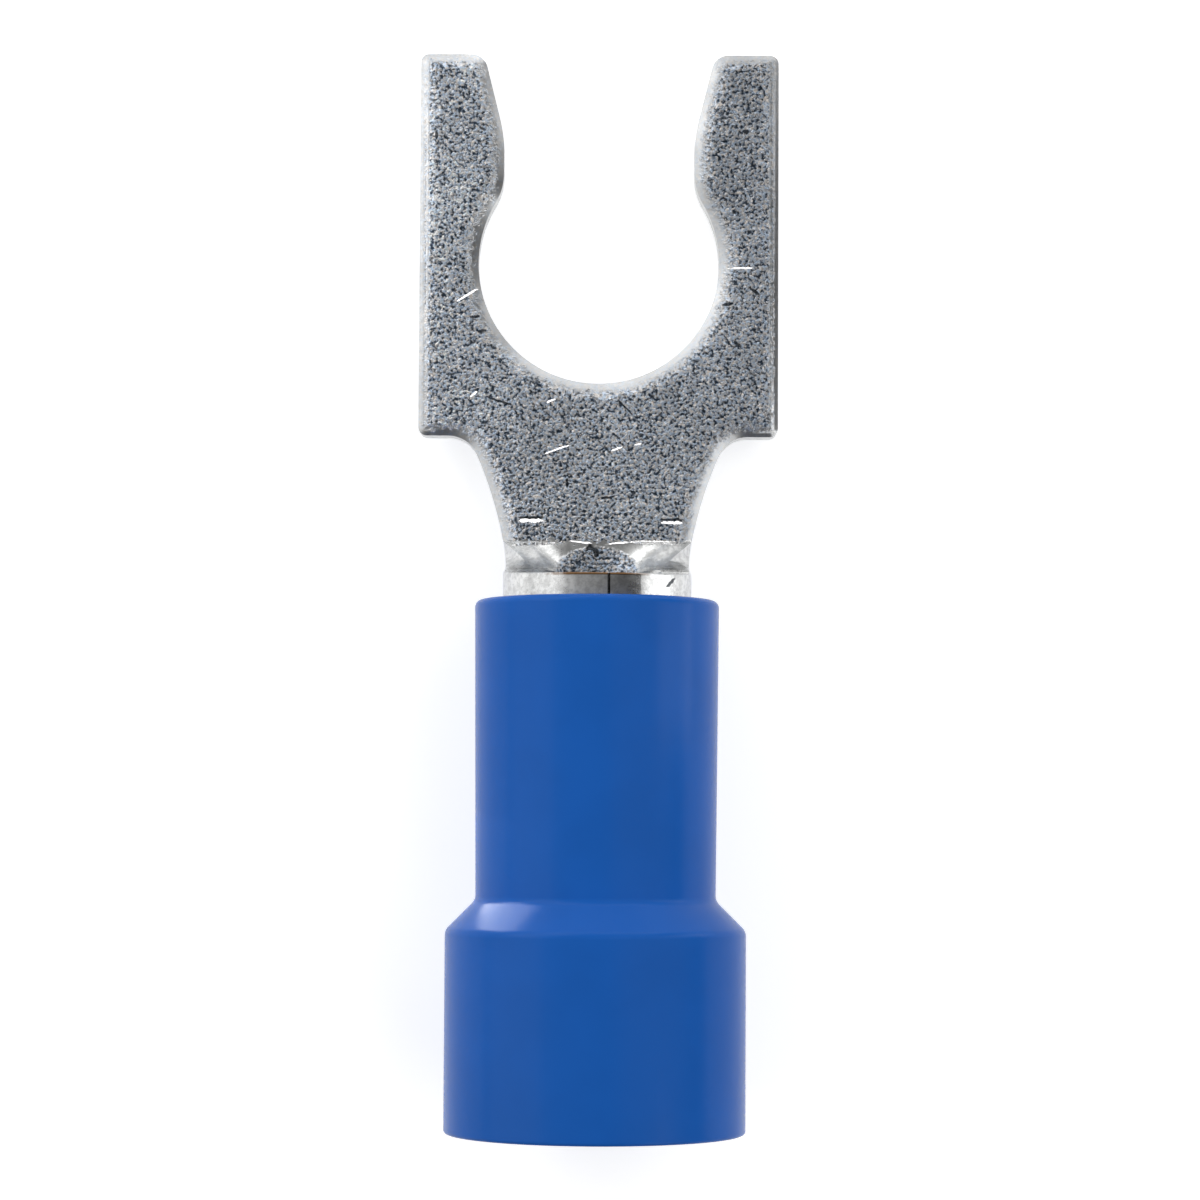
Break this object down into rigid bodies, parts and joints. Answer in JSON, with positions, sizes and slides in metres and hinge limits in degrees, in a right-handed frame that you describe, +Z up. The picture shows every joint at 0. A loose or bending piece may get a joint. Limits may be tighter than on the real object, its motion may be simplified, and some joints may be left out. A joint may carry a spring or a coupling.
{
  "type": "fork terminal",
  "caption": "Insulated locking fork terminal: a stamped tin-plated fork rolled into a crimp barrel, in a blue plastic sleeve with a bell mouth for the wire.",
  "frame": {"origin": "centre of the stud seat, on the underside of the fork that lies on the terminal block", "axes": "+X across the prongs, +Y along the part towards the tips of the prongs, +Z up through the stud seat, towards the side with the barrel's seam"},
  "size_m": [0.0076, 0.0227, 0.0062],
  "materials": {
    "tin_plate": "dull grey tin plate on copper sheet, finely grained, with bright pressed edges",
    "blue_plastic": "satin moulded blue plastic"
  },
  "bodies": {
    "root": {"metal_terminal": "tin_plate", "insulating_sleeve": "blue_plastic"}
  },
  "joints": []
}
